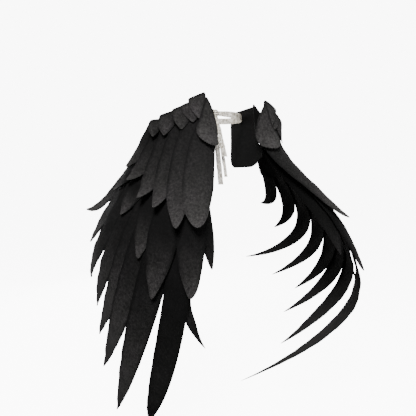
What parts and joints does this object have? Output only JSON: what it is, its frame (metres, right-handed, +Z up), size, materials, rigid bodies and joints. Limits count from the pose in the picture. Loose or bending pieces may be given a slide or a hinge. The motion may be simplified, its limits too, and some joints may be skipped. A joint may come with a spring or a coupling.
{
  "type": "hip-worn feather costume wings",
  "caption": "Pair of hip-worn costume wings of layered dark foam feathers, carried by one clear strap tied round the waist.",
  "frame": {"origin": "middle of the waist loop at half the strap's height", "axes": "+Z up along the wearer, +X to the wearer's left, -Y to the front"},
  "size_m": [0.9491, 0.7332, 1.1588],
  "materials": {
    "feather_foam": "matte",
    "backing_foam": "matte",
    "clear_vinyl": "gloss"
  },
  "bodies": {
    "root": {"left_front_leaf": "feather_foam", "left_hip_plate": "backing_foam", "left_inner_feather": "feather_foam", "left_long_feather_1": "feather_foam", "left_long_feather_2": "feather_foam", "left_long_feather_3": "feather_foam", "left_long_feather_4": "feather_foam", "left_long_feather_5": "feather_foam", "left_long_feather_6": "feather_foam", "left_long_feather_7": "feather_foam", "left_long_feather_8": "feather_foam", "left_long_feather_9": "feather_foam", "left_lower_feather_1": "feather_foam", "left_lower_feather_2": "feather_foam", "left_lower_feather_3": "feather_foam", "left_lower_feather_4": "feather_foam", "left_lower_feather_5": "feather_foam", "left_medium_feather_1": "feather_foam", "left_medium_feather_2": "feather_foam", "left_medium_feather_3": "feather_foam", "left_medium_feather_4": "feather_foam", "left_medium_feather_5": "feather_foam", "left_medium_feather_6": "feather_foam", "left_root_panel": "backing_foam", "left_small_feather_1": "feather_foam", "left_small_feather_2": "feather_foam", "left_small_feather_3": "feather_foam", "left_small_feather_4": "feather_foam", "left_small_feather_5": "feather_foam", "right_front_leaf": "feather_foam", "right_hip_plate": "backing_foam", "right_inner_feather": "feather_foam", "right_long_feather_1": "feather_foam", "right_long_feather_2": "feather_foam", "right_long_feather_3": "feather_foam", "right_long_feather_4": "feather_foam", "right_long_feather_5": "feather_foam", "right_long_feather_6": "feather_foam", "right_long_feather_7": "feather_foam", "right_long_feather_8": "feather_foam", "right_long_feather_9": "feather_foam", "right_lower_feather_1": "feather_foam", "right_lower_feather_2": "feather_foam", "right_lower_feather_3": "feather_foam", "right_lower_feather_4": "feather_foam", "right_lower_feather_5": "feather_foam", "right_medium_feather_1": "feather_foam", "right_medium_feather_2": "feather_foam", "right_medium_feather_3": "feather_foam", "right_medium_feather_4": "feather_foam", "right_medium_feather_5": "feather_foam", "right_medium_feather_6": "feather_foam", "right_root_panel": "backing_foam", "right_small_feather_1": "feather_foam", "right_small_feather_2": "feather_foam", "right_small_feather_3": "feather_foam", "right_small_feather_4": "feather_foam", "right_small_feather_5": "feather_foam", "strap_ends": "clear_vinyl", "waist_strap": "clear_vinyl"}
  },
  "joints": []
}
